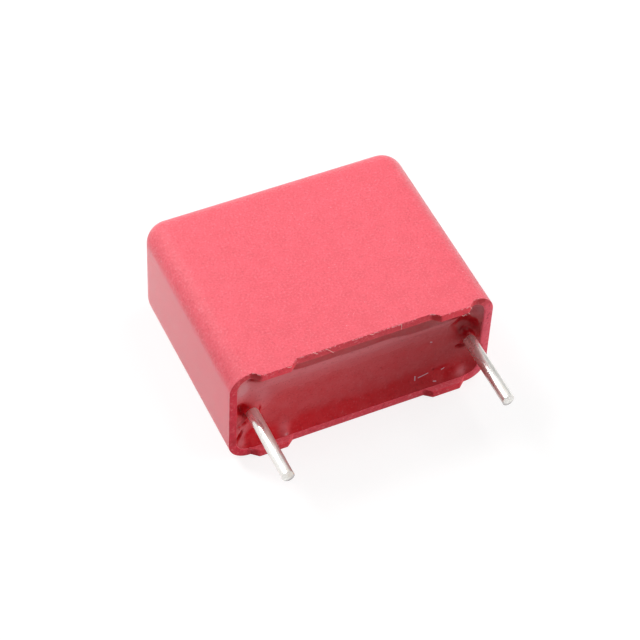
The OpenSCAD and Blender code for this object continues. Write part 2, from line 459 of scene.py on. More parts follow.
# %% Shape the flaws of the resin
DRIFT_X = 0.06 * MM
DRIFT_Z = 0.12 * MM
WIRE_EDGE = 0.42
SHALLOWEST = 0.015
DEEPEST = 1.35
FLAWS = [
    ("left_hollow", (-7.88, 4.22), (0.80, 0.36), -54, 0.42, 5),
    ("left_crevice", (-7.75, 3.55), (0.20, 0.14), -20, 0.30, 3),
    ("left_hole", (-7.95, 2.86), (0.27, 0.17), -8, 0.34, 5),
    ("left_crater", (-8.20, 1.88), (0.13, 0.42), -25, 0.26, 4),
    ("left_crater_lip", (-8.00, 1.95), (0.06, 0.40), -25, -0.10, 2),
    ("left_corner_pit", (-7.45, 6.95), (0.22, 0.16), 5, 0.22, 3),
    ("crease", (-6.80, 3.85), (0.06, 0.28), 4, 0.12, 3),
    ("left_ridge", (-7.98, 3.24), (0.38, 0.08), 22, -0.16, 2),
    ("left_wall_ridge", (-8.20, 2.70), (0.07, 0.60), 3, -0.10, 2),
    ("left_low_ridge", (-7.95, 1.30), (0.08, 0.50), -20, -0.08, 2),
    ("left_low_dip", (-6.90, 1.30), (0.60, 0.40), 20, 0.12, 2),
    ("left_foot_swell", (-5.05, 0.95), (0.25, 0.30), -30, -0.12, 2),
    ("right_hollow", (7.30, 5.35), (0.95, 0.55), -60, 0.26, 2),
    ("right_hollow_floor", (7.90, 4.95), (0.45, 0.75), 10, 0.24, 2),
    ("right_hollow_root", (7.35, 4.65), (0.28, 0.22), -30, 0.18, 2),
    ("right_hole", (7.18, 3.32), (0.27, 0.20), 0, 0.34, 5),
    ("right_corner_pit", (8.00, 6.60), (0.25, 0.22), 0, 0.18, 2),
    ("right_low_swell", (7.00, 1.10), (0.50, 0.25), 15, -0.14, 2),
    ("right_low_dip", (6.00, 1.40), (0.50, 0.30), 0, 0.10, 2),
    ("mid_pit", (1.60, 3.60), (0.07, 0.06), 0, 0.06, 2),
    ("dark_pit", (5.40, 1.70), (0.07, 0.07), 0, 0.08, 2),
    ("far_pit", (4.95, 4.45), (0.09, 0.07), 0, -0.05, 2),
    ("near_pit", (-5.65, 2.75), (0.07, 0.09), 0, -0.05, 2),
]


def cling_to_wires(depth, width, share, target):
    """Draws the face up to a target depth round both wires."""
    for side in (-1, 1):
        from_x = face_x - (side * WIRE_X + DRIFT_X) / MM
        from_z = face_z - (MIDDLE_Z + DRIFT_Z) / MM
        apart = np.clip(np.hypot(from_x, from_z) - WIRE_EDGE, 0, None)
        cling = share * np.exp(-((apart / width) ** 1.4))
        depth = depth * (1 - cling) + target * cling
    return depth


depth = cling_to_wires(depth, width=0.42, share=0.75, target=0.14)
for _, centre, reach, turn, amount, power in FLAWS:
    depth += amount * dent(centre, reach, turn, power)
depth = cling_to_wires(depth, width=0.08, share=1.0, target=0.05)
depth = np.clip(depth, SHALLOWEST, DEEPEST)
places[:, 0] = face_x * MM
places[:, 1] = RIM + depth * MM
places[:, 2] = face_z * MM
resin.data.vertices.foreach_set("co", places.reshape(-1))
resin.data.update()
print(len(FLAWS), "flaws; the deepest point lies", round(float(depth.max()), 2), "mm in")

# %% [markdown]
# The colour of the resin follows its surface, so it is stored on the points as two attributes. Haze
# is partly a dull greyish skin and partly painted sheen, the reflection of the pale floor: strong
# near the upper wall and round the left wire, with painted glare and a painted glint low by the left
# foot, and none in the hollows, the holes, the crease, the corner by the upper left foot and on the
# slope under the upper wall. Tone is painted light and shade: the red darkens towards the right, in
# the hollows, the crevice and the pits, in the corner by the upper left foot, under the right wire
# and on the slope under the upper wall, and it is lighter in a few low places and in the holes. The
# rows are like those of the flaws, with the amount that is added to the haze or to the tone.

# %% Store the haze and painted sheen, and the painted light and shade, on the points
# Rows of haze and painted sheen: painted glare and a painted glint low by the left foot, sheen by the
# walls and corners, none in the hollows.
HAZE_AND_SHEEN_PATCHES = [
    ("left_top_corner", (-7.98, 6.15), (0.42, 0.85), 0, 0.65),
    ("beside_left_wire", (-6.55, 4.60), (0.55, 1.10), 8, 0.50),
    ("left_wall_low", (-8.05, 2.20), (0.45, 1.00), 0, 0.80),
    ("left_low_corner", (-8.10, 1.10), (0.35, 0.35), 0, 0.60),
    ("left_foot_glare", (-5.10, 1.15), (0.40, 0.55), -20, 0.60),
    ("left_foot_glint", (-5.02, 0.72), (0.13, 0.10), -20, 1.60),
    ("upper_right", (5.90, 6.20), (0.70, 0.35), 0, 0.30),
    ("right_top_corner", (8.20, 6.50), (0.30, 0.50), 0, 0.55),
    ("right_wall", (8.28, 3.40), (0.25, 0.40), 0, 0.90),
    ("right_low_corner", (7.35, 0.95), (0.40, 0.35), 15, 1.00),
    ("left_hollow", (-7.88, 4.22), (0.82, 0.40), -54, -1.80),
    ("left_hole", (-7.95, 2.86), (0.29, 0.19), -8, -1.80),
    ("left_crater", (-8.20, 1.88), (0.14, 0.44), -25, -1.60),
    ("left_low_clear", (-7.00, 1.30), (0.60, 0.50), 0, -0.60),
    ("crease", (-6.80, 3.85), (0.10, 0.34), 4, -1.20),
    ("left_corner_hook", (-7.10, 6.85), (0.45, 0.28), -20, -1.50),
    ("right_hollow", (7.30, 5.35), (1.05, 0.62), -60, -1.20),
    ("right_hollow_floor", (7.90, 4.90), (0.50, 0.70), 10, -1.00),
    ("right_hole", (7.18, 3.32), (0.29, 0.22), 0, -1.00),
]
# Rows of painted light and shade: darker hollows, crevice, pits, corner hook and the place under the
# right wire, lighter low places and holes.
PAINTED_LIGHT_AND_SHADE = [
    ("right_hollow", (7.35, 5.25), (1.00, 0.60), -60, -0.16),
    ("right_hollow_edge", (7.05, 4.75), (0.30, 0.40), -30, -0.22),
    ("under_right_wire", (7.65, 3.40), (0.45, 0.45), 0, -0.20),
    ("right_hole", (7.18, 3.32), (0.24, 0.16), 0, 0.25),
    ("right_low", (6.60, 1.30), (1.60, 0.70), 0, 0.14),
    ("left_hollow", (-7.80, 4.00), (0.55, 0.38), -54, -0.14),
    ("left_crevice", (-7.75, 3.55), (0.22, 0.16), -20, -0.35),
    ("left_hole", (-7.95, 2.86), (0.22, 0.13), -8, 0.12),
    ("left_corner_hook", (-7.10, 6.85), (0.45, 0.28), -20, -0.40),
    ("low_middle", (-2.50, 1.20), (3.50, 0.60), 0, 0.06),
    ("left_low", (-6.30, 1.30), (0.90, 0.60), 0, 0.12),
    ("dark_pit", (5.40, 1.70), (0.07, 0.07), 0, -0.40),
    ("mid_pit", (1.60, 3.60), (0.06, 0.05), 0, -0.35),
]
# The haze with its painted sheen rises towards the upper wall and thins towards the right.
rise = face_z - 0.02 * face_x
haze_and_sheen = 0.24 * smooth(rise, 1.1, 2.8) + 0.80 * smooth(rise, 3.9, 6.6) ** 1.2
haze_and_sheen *= 1 - 0.25 * smooth(face_x, 0.5, 6.0)
# On the slope under the upper wall the painted sheen is taken away.
on_slope = under_top * (1 - smooth(wall_gap, slope_end - 0.08, slope_end + 0.08))
haze_and_sheen *= 1 - 0.90 * on_slope
for _, centre, reach, turn, amount in HAZE_AND_SHEEN_PATCHES:
    haze_and_sheen += amount * dent(centre, reach, turn)
# Tone is painted light and shade; the red darkens towards the right.
tone = 0.85 - 0.27 * smooth(face_x, -5.0, 7.5)
for _, centre, reach, turn, amount in PAINTED_LIGHT_AND_SHADE:
    tone += amount * dent(centre, reach, turn)
# Painted shade on the slope under the upper wall.
tone *= 1 - 0.22 * on_slope
for name, values in (("haze_and_sheen", np.clip(haze_and_sheen, 0, 2)), ("tone", np.clip(tone, 0.15, 1.2))):
    attribute = resin.data.attributes.new(name, "FLOAT", "POINT")
    attribute.data.foreach_set("value", values.astype(np.float32))
    print(name, "runs from", round(float(values.min()), 2), "to", round(float(values.max()), 2))

# %% [markdown]
# The face is only the skin of a solid block. Its border is extruded inwards, drawn in from the eased
# mouth to the straight walls, extruded to the back of the cavity, levelled, narrowed to fit the
# cavity's rounded end, and closed. The block also has a space inside, where the roll and its
# contacts lie, made as a second block turned inside out.

# %% Turn the skin into a block
DRAW_IN_STEP = 0.3 * MM
END_STEP = 0.6 * MM
edit(resin)
bpy.ops.mesh.select_mode(type="EDGE")
bpy.ops.mesh.select_all(action="SELECT")
bpy.ops.mesh.region_to_loop()
bpy.ops.mesh.extrude_edges_move(TRANSFORM_OT_translate={"value": (0, DRAW_IN_STEP, 0)})
mesh = bmesh.from_edit_mesh(resin.data)
for vertex in mesh.verts:
    if vertex.select:
        hub_x = min(max(vertex.co.x, INNER_ROUND - HALF_X), HALF_X - INNER_ROUND)
        hub_z = MIDDLE_Z + min(max(vertex.co.z - MIDDLE_Z, INNER_ROUND - HALF_Z), HALF_Z - INNER_ROUND)
        arm = Vector((vertex.co.x - hub_x, 0, vertex.co.z - hub_z))
        if arm.length > INNER_ROUND:
            arm.length = INNER_ROUND
        vertex.co.x = hub_x + arm.x
        vertex.co.z = hub_z + arm.z
bmesh.update_edit_mesh(resin.data)
bpy.ops.mesh.extrude_edges_move(TRANSFORM_OT_translate={"value": (0, 10 * MM, 0)})
bpy.ops.transform.resize(value=(1, 0, 1), center_override=(0, RESIN_END - END_STEP, MIDDLE_Z))
bpy.ops.mesh.extrude_edges_move(TRANSFORM_OT_translate={"value": (0, END_STEP, 0)})
bpy.ops.transform.resize(value=(0.93, 1, 0.83), center_override=(0, RESIN_END, MIDDLE_Z))
bpy.ops.mesh.edge_face_add()
bpy.ops.mesh.select_all(action="SELECT")
bpy.ops.mesh.normals_make_consistent(inside=False)
leave(resin)
room = start_block(
    "room_for_the_roll",
    (-7.93 * MM, -5.3 * MM, 0.95 * MM),
    (7.93 * MM, ROLL_END + 0.04 * MM, 7.05 * MM),
)
edit(room)
bpy.ops.mesh.select_all(action="SELECT")
bpy.ops.mesh.flip_normals()
leave(room)
bpy.ops.object.select_all(action="DESELECT")
room.select_set(True)
resin.select_set(True)
bpy.context.view_layer.objects.active = resin
bpy.ops.object.join()
bpy.ops.object.shade_smooth_by_angle(angle=math.radians(50))
report(resin)

# %% [markdown]
# ## The two wires
#
# Each lead is a round copper wire with a skin of tin. Where it enters the resin it is pressed flat,
# so that it can lie along the sprayed contact and be welded to it. It could be a plain cylinder, but
# a drawn wire is never quite straight or round, so a ring is extruded again and again, and each new
# ring is moved and squeezed a little. Outside the resin both wires stand slightly high and to one
# side of the slots they are welded in, and the tin makes them a touch thicker. The free end was
# sheared, so its face is slightly hollow.

# %% Model a wire
ROUND_END = -7.2 * MM
FLAT_START = -6.6 * MM
FLAT_END = wire_high.y
FLAT_THICKNESS = 0.45 * MM
FLAT_X = FLAT_THICKNESS / 2 / WIRE_RADIUS
FLAT_Z = (wire_high.z - wire_low.z) / 2 / WIRE_RADIUS
TINNED = 1.035


def wire_rings(seed):
    """The rings of one wire: place along it, the two squeezes, and the two sideways shifts."""
    draw = np.random.default_rng(seed)
    rings = []
    for step in np.linspace(wire_low.y + 0.10 * MM, ROUND_END, 22):
        squeeze = TINNED * (0.995 + 0.010 * draw.uniform(-1, 1))
        shift_x, shift_z = draw.uniform(-1, 1, 2) * 0.005 * MM
        rings.append((step, squeeze, squeeze, DRIFT_X + shift_x, DRIFT_Z + shift_z))
    for part in (0.35, 0.7, 1.0):
        step = ROUND_END + part * (FLAT_START - ROUND_END)
        eased = part * part * (3 - 2 * part)
        left_over = 1 - eased
        rings.append((
            step, 1 + (FLAT_X - 1) * eased, 1 + (FLAT_Z - 1) * eased,
            DRIFT_X * left_over, DRIFT_Z * left_over,
        ))
    rings.append((FLAT_END - 0.05 * MM, FLAT_X, FLAT_Z, 0, 0))
    rings.append((FLAT_END, FLAT_X * 0.9, FLAT_Z * 0.97, 0, 0))
    return rings


def make_wire(name, side, seed):
    """A wire, from its sheared tip to the end of its flat."""
    bpy.ops.object.select_all(action="DESELECT")
    bpy.ops.mesh.primitive_circle_add(
        vertices=64, radius=WIRE_RADIUS * 0.94, fill_type="NOTHING",
        location=(side * WIRE_X + DRIFT_X, wire_low.y, MIDDLE_Z + DRIFT_Z),
        rotation=(math.radians(90), 0, 0),
    )
    wire = bpy.context.active_object
    wire.name = name
    wire.data.name = name
    bpy.ops.object.transform_apply(location=True, rotation=True, scale=True)
    edit(wire)
    bpy.ops.mesh.select_all(action="SELECT")
    centre = [side * WIRE_X + DRIFT_X, wire_low.y, MIDDLE_Z + DRIFT_Z]
    size = [0.94, 0.94]
    for step, wide, high, shift_x, shift_z in [
        (wire_low.y + 0.03 * MM, TINNED, TINNED, DRIFT_X, DRIFT_Z), *wire_rings(seed)
    ]:
        move = (side * WIRE_X + shift_x - centre[0], step - centre[1], MIDDLE_Z + shift_z - centre[2])
        bpy.ops.mesh.extrude_edges_move(TRANSFORM_OT_translate={"value": move})
        centre = [centre[0] + move[0], step, centre[2] + move[2]]
        bpy.ops.transform.resize(
            value=(wide / size[0], 1, high / size[1]), center_override=tuple(centre)
        )
        size = [wide, high]
    bpy.ops.mesh.edge_face_add()
    pick(wire, "EDGE", lambda corners: all(near(c.y, wire_low.y) for c in corners))
    bpy.ops.mesh.edge_face_add()
    bpy.ops.mesh.inset(thickness=0.05 * MM)
    bpy.ops.transform.translate(value=(0, 0.035 * MM, 0))
    bpy.ops.mesh.inset(thickness=0.18 * MM)
    bpy.ops.transform.translate(value=(0, 0.02 * MM, 0.03 * MM))
    bpy.ops.mesh.poke()
    bpy.ops.mesh.select_all(action="SELECT")
    bpy.ops.mesh.normals_make_consistent(inside=False)
    leave(wire)
    bpy.ops.object.shade_smooth_by_angle(angle=math.radians(40))
    return wire


left_wire = make_wire("tinned_lead_left", -1, 7)
right_wire = make_wire("tinned_lead_right", 1, 12)
report(left_wire)
report(right_wire)

# %% [markdown]
# The shears bend the tip a little as they close. One lip of the cut is pushed back and the lower one
# is drawn out sideways, so the cut face is no longer square to the wire. The points near the tip are
# moved by an amount that grows from nothing at the shaft to full at the tip.

# %% Shear the tips
TIP_LENGTH = 0.45 * MM
PUSH_BACK = 0.07 * MM


def shear_tip(wire, side, lean_x, lean_z, smear):
    """Leans the cut face of a wire, and draws its lower lip out sideways."""
    for vertex in wire.data.vertices:
        grip = 1 - min(max((vertex.co.y - wire_low.y) / TIP_LENGTH, 0), 1)
        grip = grip * grip
        dx = vertex.co.x - side * WIRE_X - DRIFT_X
        dz = vertex.co.z - MIDDLE_Z - DRIFT_Z
        lean = (lean_x * dx + lean_z * dz) / WIRE_RADIUS
        vertex.co.y += grip * PUSH_BACK * (1 + lean)
        vertex.co.x += grip * smear * MM * (0.5 - dz / WIRE_RADIUS) * 0.5
    wire.data.update()


shear_tip(left_wire, -1, -0.45, 0.55, 0.020)
shear_tip(right_wire, 1, 0.35, 0.60, -0.025)
print("tips sheared")

# %% [markdown]
# ## Finishes
#
# Every finish is a Principled shader whose colour, roughness and bump come from nodes. All patterns
# read Object coordinates, counted in millimetres through one Mapping node, so that a scale of 4
# means four cells to a millimetre wherever it is written.

# %% Helpers for finishes
def new_finish(name, **settings):
    """A material with a Principled shader; settings are the shader's own constant values."""
    finish = bpy.data.materials.new(name)
    finish.use_nodes = True
    shader = finish.node_tree.nodes["Principled BSDF"]
    for key, value in settings.items():
        shader.inputs[key.replace("_", " ")].default_value = value
    return finish, shader


def add_node(finish, kind, inputs=None, **settings):
    """Adds a node, sets its properties and fills or links its inputs."""
    node = finish.node_tree.nodes.new("ShaderNode" + kind)
    for key, value in settings.items():
        setattr(node, key, value)
    for key, value in (inputs or {}).items():
        if isinstance(value, bpy.types.NodeSocket):
            finish.node_tree.links.new(value, node.inputs[key])
        else:
            node.inputs[key].default_value = value
    return node


def link(finish, source, target):
    """Joins an output to an input."""
    finish.node_tree.links.new(source, target)


def millimetres(finish, stretch=(1, 1, 1), shift=(0, 0, 0)):
    """Object coordinates in millimetres, stretched and shifted."""
    coordinates = add_node(finish, "TexCoord")
    mapping = add_node(finish, "Mapping", {
        "Vector": coordinates.outputs["Object"],
        "Scale": [1000 * s for s in stretch],
        "Location": shift,
    })
    return mapping.outputs["Vector"]


def noise(finish, place, scale, detail=2, roughness=0.5):
    """A noise pattern with so many cells to a millimetre."""
    node = add_node(finish, "TexNoise", {
        "Vector": place, "Scale": scale, "Detail": detail, "Roughness": roughness,
    })
    return node.outputs["Fac"]


def band(finish, value, low, high, to_low=0, to_high=1):
    """Maps a value from one range onto another, softly and with its ends held."""
    node = add_node(finish, "MapRange", {
        "Value": value, "From Min": low, "From Max": high, "To Min": to_low, "To Max": to_high,
    }, interpolation_type="SMOOTHSTEP")
    return node.outputs["Result"]


def math_of(finish, operation, first, second=0.5):
    """One step of arithmetic."""
    return add_node(finish, "Math", {0: first, 1: second}, operation=operation).outputs[0]


def tint(finish, amount, first, second):
    """Mixes two colours by an amount."""
    node = add_node(finish, "Mix", {"Factor": amount}, data_type="RGBA")
    for socket, value in ((node.inputs[6], first), (node.inputs[7], second)):
        if isinstance(value, bpy.types.NodeSocket):
            link(finish, value, socket)
        else:
            socket.default_value = (*value, 1)
    return node.outputs[2]


def axes(finish, place):
    """The three coordinates of a place, apart."""
    return add_node(finish, "SeparateXYZ", {"Vector": place}).outputs


def bump(finish, height, distance, strength=1, below=None):
    """A bump of so many millimetres, laid over another one if it is given."""
    inputs = {"Height": height, "Distance": distance * MM, "Strength": strength}
    if below is not None:
        inputs["Normal"] = below
    return add_node(finish, "Bump", inputs).outputs["Normal"]


def spot(finish, place, centre, full, none):
    """1 within one distance of a point and 0 beyond another, in millimetres."""
    apart = add_node(finish, "VectorMath", {0: place, 1: centre}, operation="DISTANCE")
    return band(finish, apart.outputs["Value"], full, none, 1, 0)


def dress(piece, finish, node):
    """Gives a new piece its finish, hangs it on the root body and hides the CAD node it replaces."""
    piece.data.materials.clear()
    piece.data.materials.append(finish)
    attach(piece, "root")
    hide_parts(node)

# %% [markdown]
# The case is red flame-proof plastic from a spark-eroded mould, so its skin is matt with a fine
# grain. Close to, it shows a faint mottle, pale and dark specks, and here and there a few thin pale
# scratches, which come from a noise pattern that is stretched along the case.

# %% Red moulded plastic
plastic, shader = new_finish(
    "red_moulded_plastic", Specular_IOR_Level=0.5, Sheen_Weight=0.7, Sheen_Roughness=0.3,
)
place = millimetres(plastic)
mottle = noise(plastic, place, 1.1, 4, 0.6)
grain = noise(plastic, place, 7.0, 3, 0.65)
fleck = noise(plastic, place, 4.5, 2, 0.7)
red = tint(plastic, band(plastic, mottle, 0.3, 0.7), (0.87, 0.092, 0.130), (0.93, 0.108, 0.152))
red = tint(plastic, band(plastic, grain, 0.51, 0.68, 0, 0.6), red, (0.98, 0.21, 0.27))
red = tint(plastic, band(plastic, grain, 0.47, 0.32, 0, 0.6), red, (0.74, 0.045, 0.078))
red = tint(plastic, band(plastic, fleck, 0.66, 0.80, 0, 0.45), red, (0.62, 0.05, 0.08))
speck_cells = add_node(plastic, "TexVoronoi", {"Vector": place, "Scale": 1.4})
speck = band(plastic, speck_cells.outputs["Distance"], 0.035, 0.055, 1, 0)
red = tint(plastic, math_of(plastic, "MULTIPLY", speck, 0.7), red, (0.96, 0.45, 0.50))
scratch_place = millimetres(plastic, (0.35, 3.0, 3.0), (3.1, 0.0, 0.0))
scratch = noise(plastic, scratch_place, 2.2, 2, 0.4)
scratch_mask = band(plastic, noise(plastic, place, 0.35, 1), 0.58, 0.70)
scratch = band(plastic, scratch, 0.735, 0.765)
scratch = math_of(plastic, "MULTIPLY", scratch, scratch_mask)
red = tint(plastic, math_of(plastic, "MULTIPLY", scratch, 0.5), red, (1.0, 0.55, 0.58))
link(plastic, red, shader.inputs["Base Color"])
link(plastic, band(plastic, mottle, 0.3, 0.7, 0.38, 0.46), shader.inputs["Roughness"])
skin = bump(plastic, noise(plastic, place, 7.0, 4, 0.7), 0.055, 1.0)
skin = bump(plastic, noise(plastic, place, 2.0, 2, 0.5), 0.030, 0.5, skin)
link(plastic, skin, shader.inputs["Normal"])
dress(case, plastic, "case")

# %% [markdown]
# The rim and the feet come from a polished part of the mould, so they are smoother than the sides
# and show a deep red, darker along the upper wall. Painted shade darkens the rim round the left end
# and painted light brightens it at the right end. Along the upper edge runs a broken pale line,
# partly scuffs and partly painted glints. Dark patches of painted shade sit on the flanks of the
# feet, in the upper right corner and low on the left wall; each row gives a patch's centre, the
# distances of full and no effect, and its share. The faces of the rim get this finish as the second
# material of the case.

# %% Polished rim of the case
# Patches of painted shade on the flanks of the feet, in the upper right corner and low on the left
# wall.
PAINTED_RIM_SHADES = [
    ((-7.38, -7.45, 7.70), 0.25, 0.50, 0.90),
    ((-7.38, -7.45, 0.30), 0.15, 0.45, 0.50),
    ((4.83, -7.45, 7.70), 0.22, 0.50, 0.80),
    ((4.83, -7.45, 0.30), 0.18, 0.45, 0.60),
    ((8.02, -7.25, 7.68), 0.18, 0.45, 0.70),
    ((-8.60, -7.25, 1.80), 0.05, 0.60, 0.50),
]
rim_red, shader = new_finish("red_rim_plastic", Specular_IOR_Level=0.15)
place = millimetres(rim_red)
x, y, z = axes(rim_red, place)
tone_noise = noise(rim_red, place, 2.0, 4, 0.65)
grain = noise(rim_red, place, 5.0, 3, 0.7)
upper = band(rim_red, z, 6.9, 7.3)
on_foot = band(rim_red, y, -7.35, -7.55)
# Painted shade darkens the rim round the left end, and painted light brightens it at the right end.
red = tint(rim_red, band(rim_red, x, -8.3, -7.2), (0.76, 0.032, 0.062), (0.93, 0.085, 0.125))
red = tint(rim_red, band(rim_red, x, 7.9, 8.5), red, (1.0, 0.13, 0.19))
red = tint(rim_red, math_of(rim_red, "MULTIPLY", upper, 0.75), red, (0.68, 0.045, 0.062))
red = tint(rim_red, on_foot, red, (0.90, 0.055, 0.085))
red = tint(rim_red, band(rim_red, tone_noise, 0.52, 0.72, 0, 0.6), red, (0.95, 0.13, 0.17))
red = tint(rim_red, band(rim_red, grain, 0.55, 0.72, 0, 0.7), red, (0.98, 0.30, 0.34))
red = tint(rim_red, band(rim_red, grain, 0.46, 0.30, 0, 0.6), red, (0.48, 0.022, 0.040))
# Painted shade: each row darkens the rim round its centre.
for centre, full, none, share in PAINTED_RIM_SHADES:
    smear = math_of(rim_red, "MULTIPLY", spot(rim_red, place, centre, full, none), share)
    red = tint(rim_red, smear, red, (0.42, 0.006, 0.012))
# A broken pale line along the upper edge, partly scuffs and partly painted glints.
scuffs_and_glints = band(rim_red, z, 7.86, 7.96)
scuffs_and_glints = math_of(rim_red, "MULTIPLY", scuffs_and_glints, band(rim_red, grain, 0.50, 0.60))
red = tint(rim_red, scuffs_and_glints, red, (1.0, 0.42, 0.46))
link(rim_red, red, shader.inputs["Base Color"])
link(rim_red, band(rim_red, grain, 0.3, 0.7, 0.38, 0.55), shader.inputs["Roughness"])
link(rim_red, bump(rim_red, grain, 0.03, 0.8), shader.inputs["Normal"])
case.data.materials.append(rim_red)
on_rim = 0
for face in case.data.polygons:
    if face.center.y < RIM + 0.06 * MM and face.normal.y < -0.35:
        face.material_index = 1
        on_rim += 1
print(on_rim, "faces of the rim are polished")

# %% [markdown]
# The torn threads of flash are thin enough to let light through, so they look paler than the rest.

# %% Pale threads
flash, shader = new_finish("pale_flash", Specular_IOR_Level=0.4, Roughness=0.5)
flash_noise = noise(flash, millimetres(flash), 4.0, 2)
pale = tint(flash, flash_noise, (0.95, 0.30, 0.30), (1.0, 0.70, 0.66))
link(flash, pale, shader.inputs["Base Color"])
case.data.materials.append(flash)
for face in case.data.polygons[first_thread_face:]:
    face.material_index = 2
print(len(case.data.polygons) - first_thread_face, "faces belong to threads")

# %% [markdown]
# The resin is the same red but glossier and deeper in colour. The haze stored on its points mixes a
# greyish red into the clear one and roughens it: partly a dull skin, partly painted sheen, and where
# the haze runs high it turns into painted glare and a near-white painted glint. The stored tone is
# painted light and shade over the red. A few short scratches catch the light: each is a line between
# two points, found by the distance to it.

# %% Red casting resin
SCRATCHES = [
    ((4.35, -6.8, 1.42), (5.02, -6.8, 1.58)),
    ((4.10, -6.8, 1.30), (4.12, -6.8, 1.62)),
    ((6.05, -6.8, 1.38), (6.22, -6.8, 1.46)),
    ((5.35, -6.8, 0.86), (5.52, -6.8, 0.82)),
    ((5.02, -6.8, 4.56), (5.12, -6.8, 4.50)),
]


def streak(finish, place, start, end, width=0.045):
    """1 on a short straight line between two points, 0 away from it."""
    start = Vector(start)
    along = Vector(end) - start
    from_start = add_node(finish, "VectorMath", {0: place, 1: start}, operation="SUBTRACT")
    flat = add_node(finish, "VectorMath", {
        0: from_start.outputs["Vector"], 1: (1, 0, 1),
    }, operation="MULTIPLY")
    part = add_node(finish, "VectorMath", {
        0: flat.outputs["Vector"], 1: along / along.length_squared,
    }, operation="DOT_PRODUCT")
    held = add_node(finish, "Clamp", {"Value": part.outputs["Value"]})
    foot = add_node(finish, "VectorMath", {
        0: along, "Scale": held.outputs["Result"],
    }, operation="SCALE")
    apart = add_node(finish, "VectorMath", {
        0: flat.outputs["Vector"], 1: foot.outputs["Vector"],
    }, operation="DISTANCE")
    return band(finish, apart.outputs["Value"], width * 0.5, width, 0.85, 0)


casting, shader = new_finish("red_casting_resin", Specular_IOR_Level=0.16)
place = millimetres(casting)
cloud = noise(casting, place, 0.9, 4, 0.6)
grain = noise(casting, place, 6.5, 3, 0.65)
haze_and_sheen = add_node(casting, "Attribute", attribute_name="haze_and_sheen").outputs["Fac"]
tone = add_node(casting, "Attribute", attribute_name="tone").outputs["Fac"]
haze_and_sheen = math_of(casting, "ADD", haze_and_sheen, band(casting, cloud, 0.35, 0.65, -0.06, 0.06))
deep = (0.76, 0.012, 0.022)
hazy_sheen_red = (0.90, 0.200, 0.230)
# The clear red, and the greyish red of the haze with its painted sheen.
red = tint(casting, haze_and_sheen, deep, hazy_sheen_red)
# Painted glare where the haze runs high, and a near-white painted glint above that.
red = tint(casting, band(casting, haze_and_sheen, 1.0, 1.6), red, (0.93, 0.34, 0.37))
red = tint(casting, band(casting, haze_and_sheen, 1.7, 2.0), red, (1.0, 0.90, 0.92))
red = tint(casting, band(casting, grain, 0.55, 0.75, 0, 0.30), red, (0.85, 0.22, 0.24))
red = tint(casting, band(casting, grain, 0.45, 0.28, 0, 0.45), red, (0.34, 0.008, 0.015))
for start, end in SCRATCHES:
    red = tint(casting, streak(casting, place, start, end), red, (0.95, 0.70, 0.85))
# Painted light and shade: the stored tone sets how bright the red is.
painted_shading = add_node(casting, "HueSaturation", {"Color": red, "Value": tone})
link(casting, painted_shading.outputs["Color"], shader.inputs["Base Color"])
link(casting, band(casting, haze_and_sheen, 0, 1, 0.20, 0.42), shader.inputs["Roughness"])
skin = bump(casting, noise(casting, place, 2.2, 3, 0.5), 0.03, 0.6)
skin = bump(casting, grain, 0.012, 0.6, skin)
link(casting, skin, shader.inputs["Normal"])
dress(resin, casting, "potting_resin")
print("resin has", len(SCRATCHES), "scratches")

# %% [markdown]
# The wires are tin over copper. Tin is bright but soft, so it carries fine drawing lines along the
# wire and dull rubbed patches. Only the sheared face shows the copper, as a thin crescent where the
# blade first bit, and the tin is smeared over the rest of it.

# %% Tinned wire
tinned, shader = new_finish("tinned_wire", Metallic=0.85)
place = millimetres(tinned)
y, z = axes(tinned, place)[1:3]
lines = noise(tinned, millimetres(tinned, (9, 0.25, 9)), 1.0, 3, 0.6)
patches = noise(tinned, millimetres(tinned, (1.2, 0.5, 1.2)), 1.0, 3, 0.6)
silver = tint(tinned, band(tinned, lines, 0.3, 0.7), (0.76, 0.75, 0.71), (0.92, 0.91, 0.88))
silver = tint(tinned, band(tinned, patches, 0.52, 0.75, 0, 0.5), silver, (0.55, 0.47, 0.38))
cut = band(tinned, y, -12.600, -12.560, 1, 0)
crescent = band(tinned, z, 4.14, 4.26, 0, 1)
smear = noise(tinned, millimetres(tinned, (2, 1, 5)), 1.5, 3, 0.6)
metal = tint(tinned, crescent, (0.52, 0.50, 0.50), (0.62, 0.26, 0.13))
metal = tint(tinned, band(tinned, smear, 0.45, 0.65, 0, 0.6), metal, (0.46, 0.42, 0.42))
silver = tint(tinned, cut, silver, metal)
link(tinned, silver, shader.inputs["Base Color"])
link(tinned, band(tinned, patches, 0.3, 0.7, 0.20, 0.36), shader.inputs["Roughness"])
skin = bump(tinned, lines, 0.010, 0.5)
skin = bump(tinned, noise(tinned, place, 3.0, 2, 0.5), 0.010, 0.4, skin)
link(tinned, skin, shader.inputs["Normal"])
dress(left_wire, tinned, "lead_left")
dress(right_wire, tinned, "lead_right")
print("both wires are tinned")

# %% [markdown]
# The roll and its two sprayed ends are hidden in the resin. Their CAD shapes are right, so they stay
# and only get a finish: thin shining layers for the wound film, and the crusty grey skin of molten
# metal drops for the contacts.

